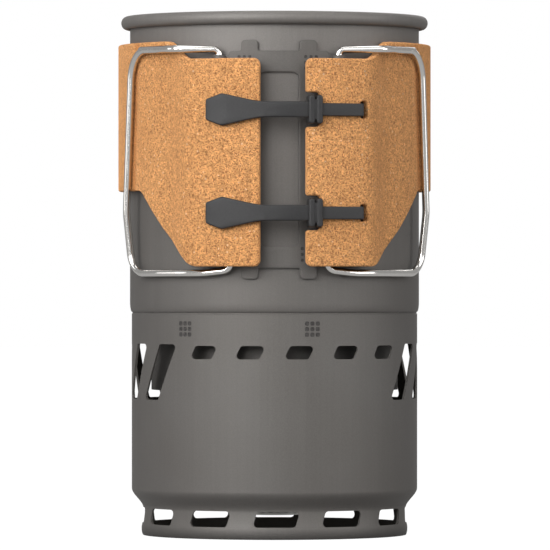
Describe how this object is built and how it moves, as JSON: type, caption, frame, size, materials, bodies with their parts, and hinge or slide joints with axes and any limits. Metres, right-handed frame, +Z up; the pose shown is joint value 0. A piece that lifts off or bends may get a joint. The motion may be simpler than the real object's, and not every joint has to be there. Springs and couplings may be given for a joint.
{
  "type": "integrated canister stove",
  "caption": "Canister stove with an anodised pot in a cork sleeve, folding wire handles, silicone straps and a vented windscreen that holds the gas burner.",
  "frame": {"origin": "on the pot's axis at the plane that the foot ring stands on", "axes": "+Z up; -Y towards the front with the hinge bracket and the straps; +X to the viewer's right"},
  "size_m": [0.121, 0.135, 0.2005],
  "materials": {
    "anodised": "hard-anodised, satin grey",
    "steel": "plain stainless steel",
    "wire": "polished stainless wire",
    "cork": "pressed cork granules",
    "silicone": "matt dark grey silicone",
    "plastic": "matt black",
    "brass": "turned",
    "ceramic": "unglazed"
  },
  "bodies": {
    "base": {"windscreen": "anodised", "pot_seat_ring": "steel", "burner_plate": "steel", "plate_screw_1": "steel", "plate_screw_2": "steel", "plate_screw_3": "steel", "valve_body": "brass", "canister_collar": "steel", "canister_seal": "silicone", "gas_jet": "brass", "mixer_tube": "steel", "burner_head": "steel", "burner_mesh": "steel", "spindle_nut": "brass", "igniter_housing": "plastic", "igniter_nut": "steel", "igniter_lead": "silicone", "electrode_insulator": "ceramic", "electrode_wire": "steel"},
    "pot": {"pot_body": "anodised", "fin_ring": "steel", "fin_band": "anodised", "hinge_bracket": "anodised", "cork_sleeve": "cork", "strap_upper_tail": "silicone", "strap_lower_tail": "silicone"},
    "left_handle": {"handle_left": "wire"},
    "right_handle": {"handle_right": "wire"},
    "upper_strap_end": {"strap_upper": "silicone"},
    "lower_strap_end": {"strap_lower": "silicone"},
    "knob": {"control_knob": "plastic", "valve_spindle": "steel"},
    "button": {"igniter_button": "silicone"}
  },
  "joints": [
    {"name": "pot_lift", "type": "slide", "parent": "base", "child": "pot", "axis": [0, 0, 1], "range_m": [0, 0.1]},
    {"name": "left_handle_hinge", "type": "hinge", "parent": "pot", "child": "left_handle", "pos_m": [-0.01796, -0.05599, 0.1012], "axis": [-0.0572, 0.0212, 0.9981], "range_deg": [0, 120]},
    {"name": "right_handle_hinge", "type": "hinge", "parent": "pot", "child": "right_handle", "pos_m": [0.01796, -0.05599, 0.1012], "axis": [-0.0572, -0.0212, -0.9981], "range_deg": [0, 120]},
    {"name": "upper_strap_flex", "type": "hinge", "parent": "pot", "child": "upper_strap_end", "pos_m": [0.0131, -0.06744, 0.16295], "axis": [0, 0, 1], "range_deg": [0, 90], "stiffness_Nm_per_rad": 0.01},
    {"name": "lower_strap_flex", "type": "hinge", "parent": "pot", "child": "lower_strap_end", "pos_m": [0.0131, -0.06744, 0.12395], "axis": [0, 0, 1], "range_deg": [0, 90], "stiffness_Nm_per_rad": 0.01},
    {"name": "gas_control", "type": "hinge", "parent": "base", "child": "knob", "pos_m": [0, 0.0563, 0.025], "axis": [0, 1, 0], "range_deg": [0, 540]},
    {"name": "igniter_press", "type": "slide", "parent": "base", "child": "button", "axis": [-0.6428, -0.766, 0], "range_m": [0, 0.004], "stiffness_N_per_m": 1500, "springref_m": -0.002}
  ]
}
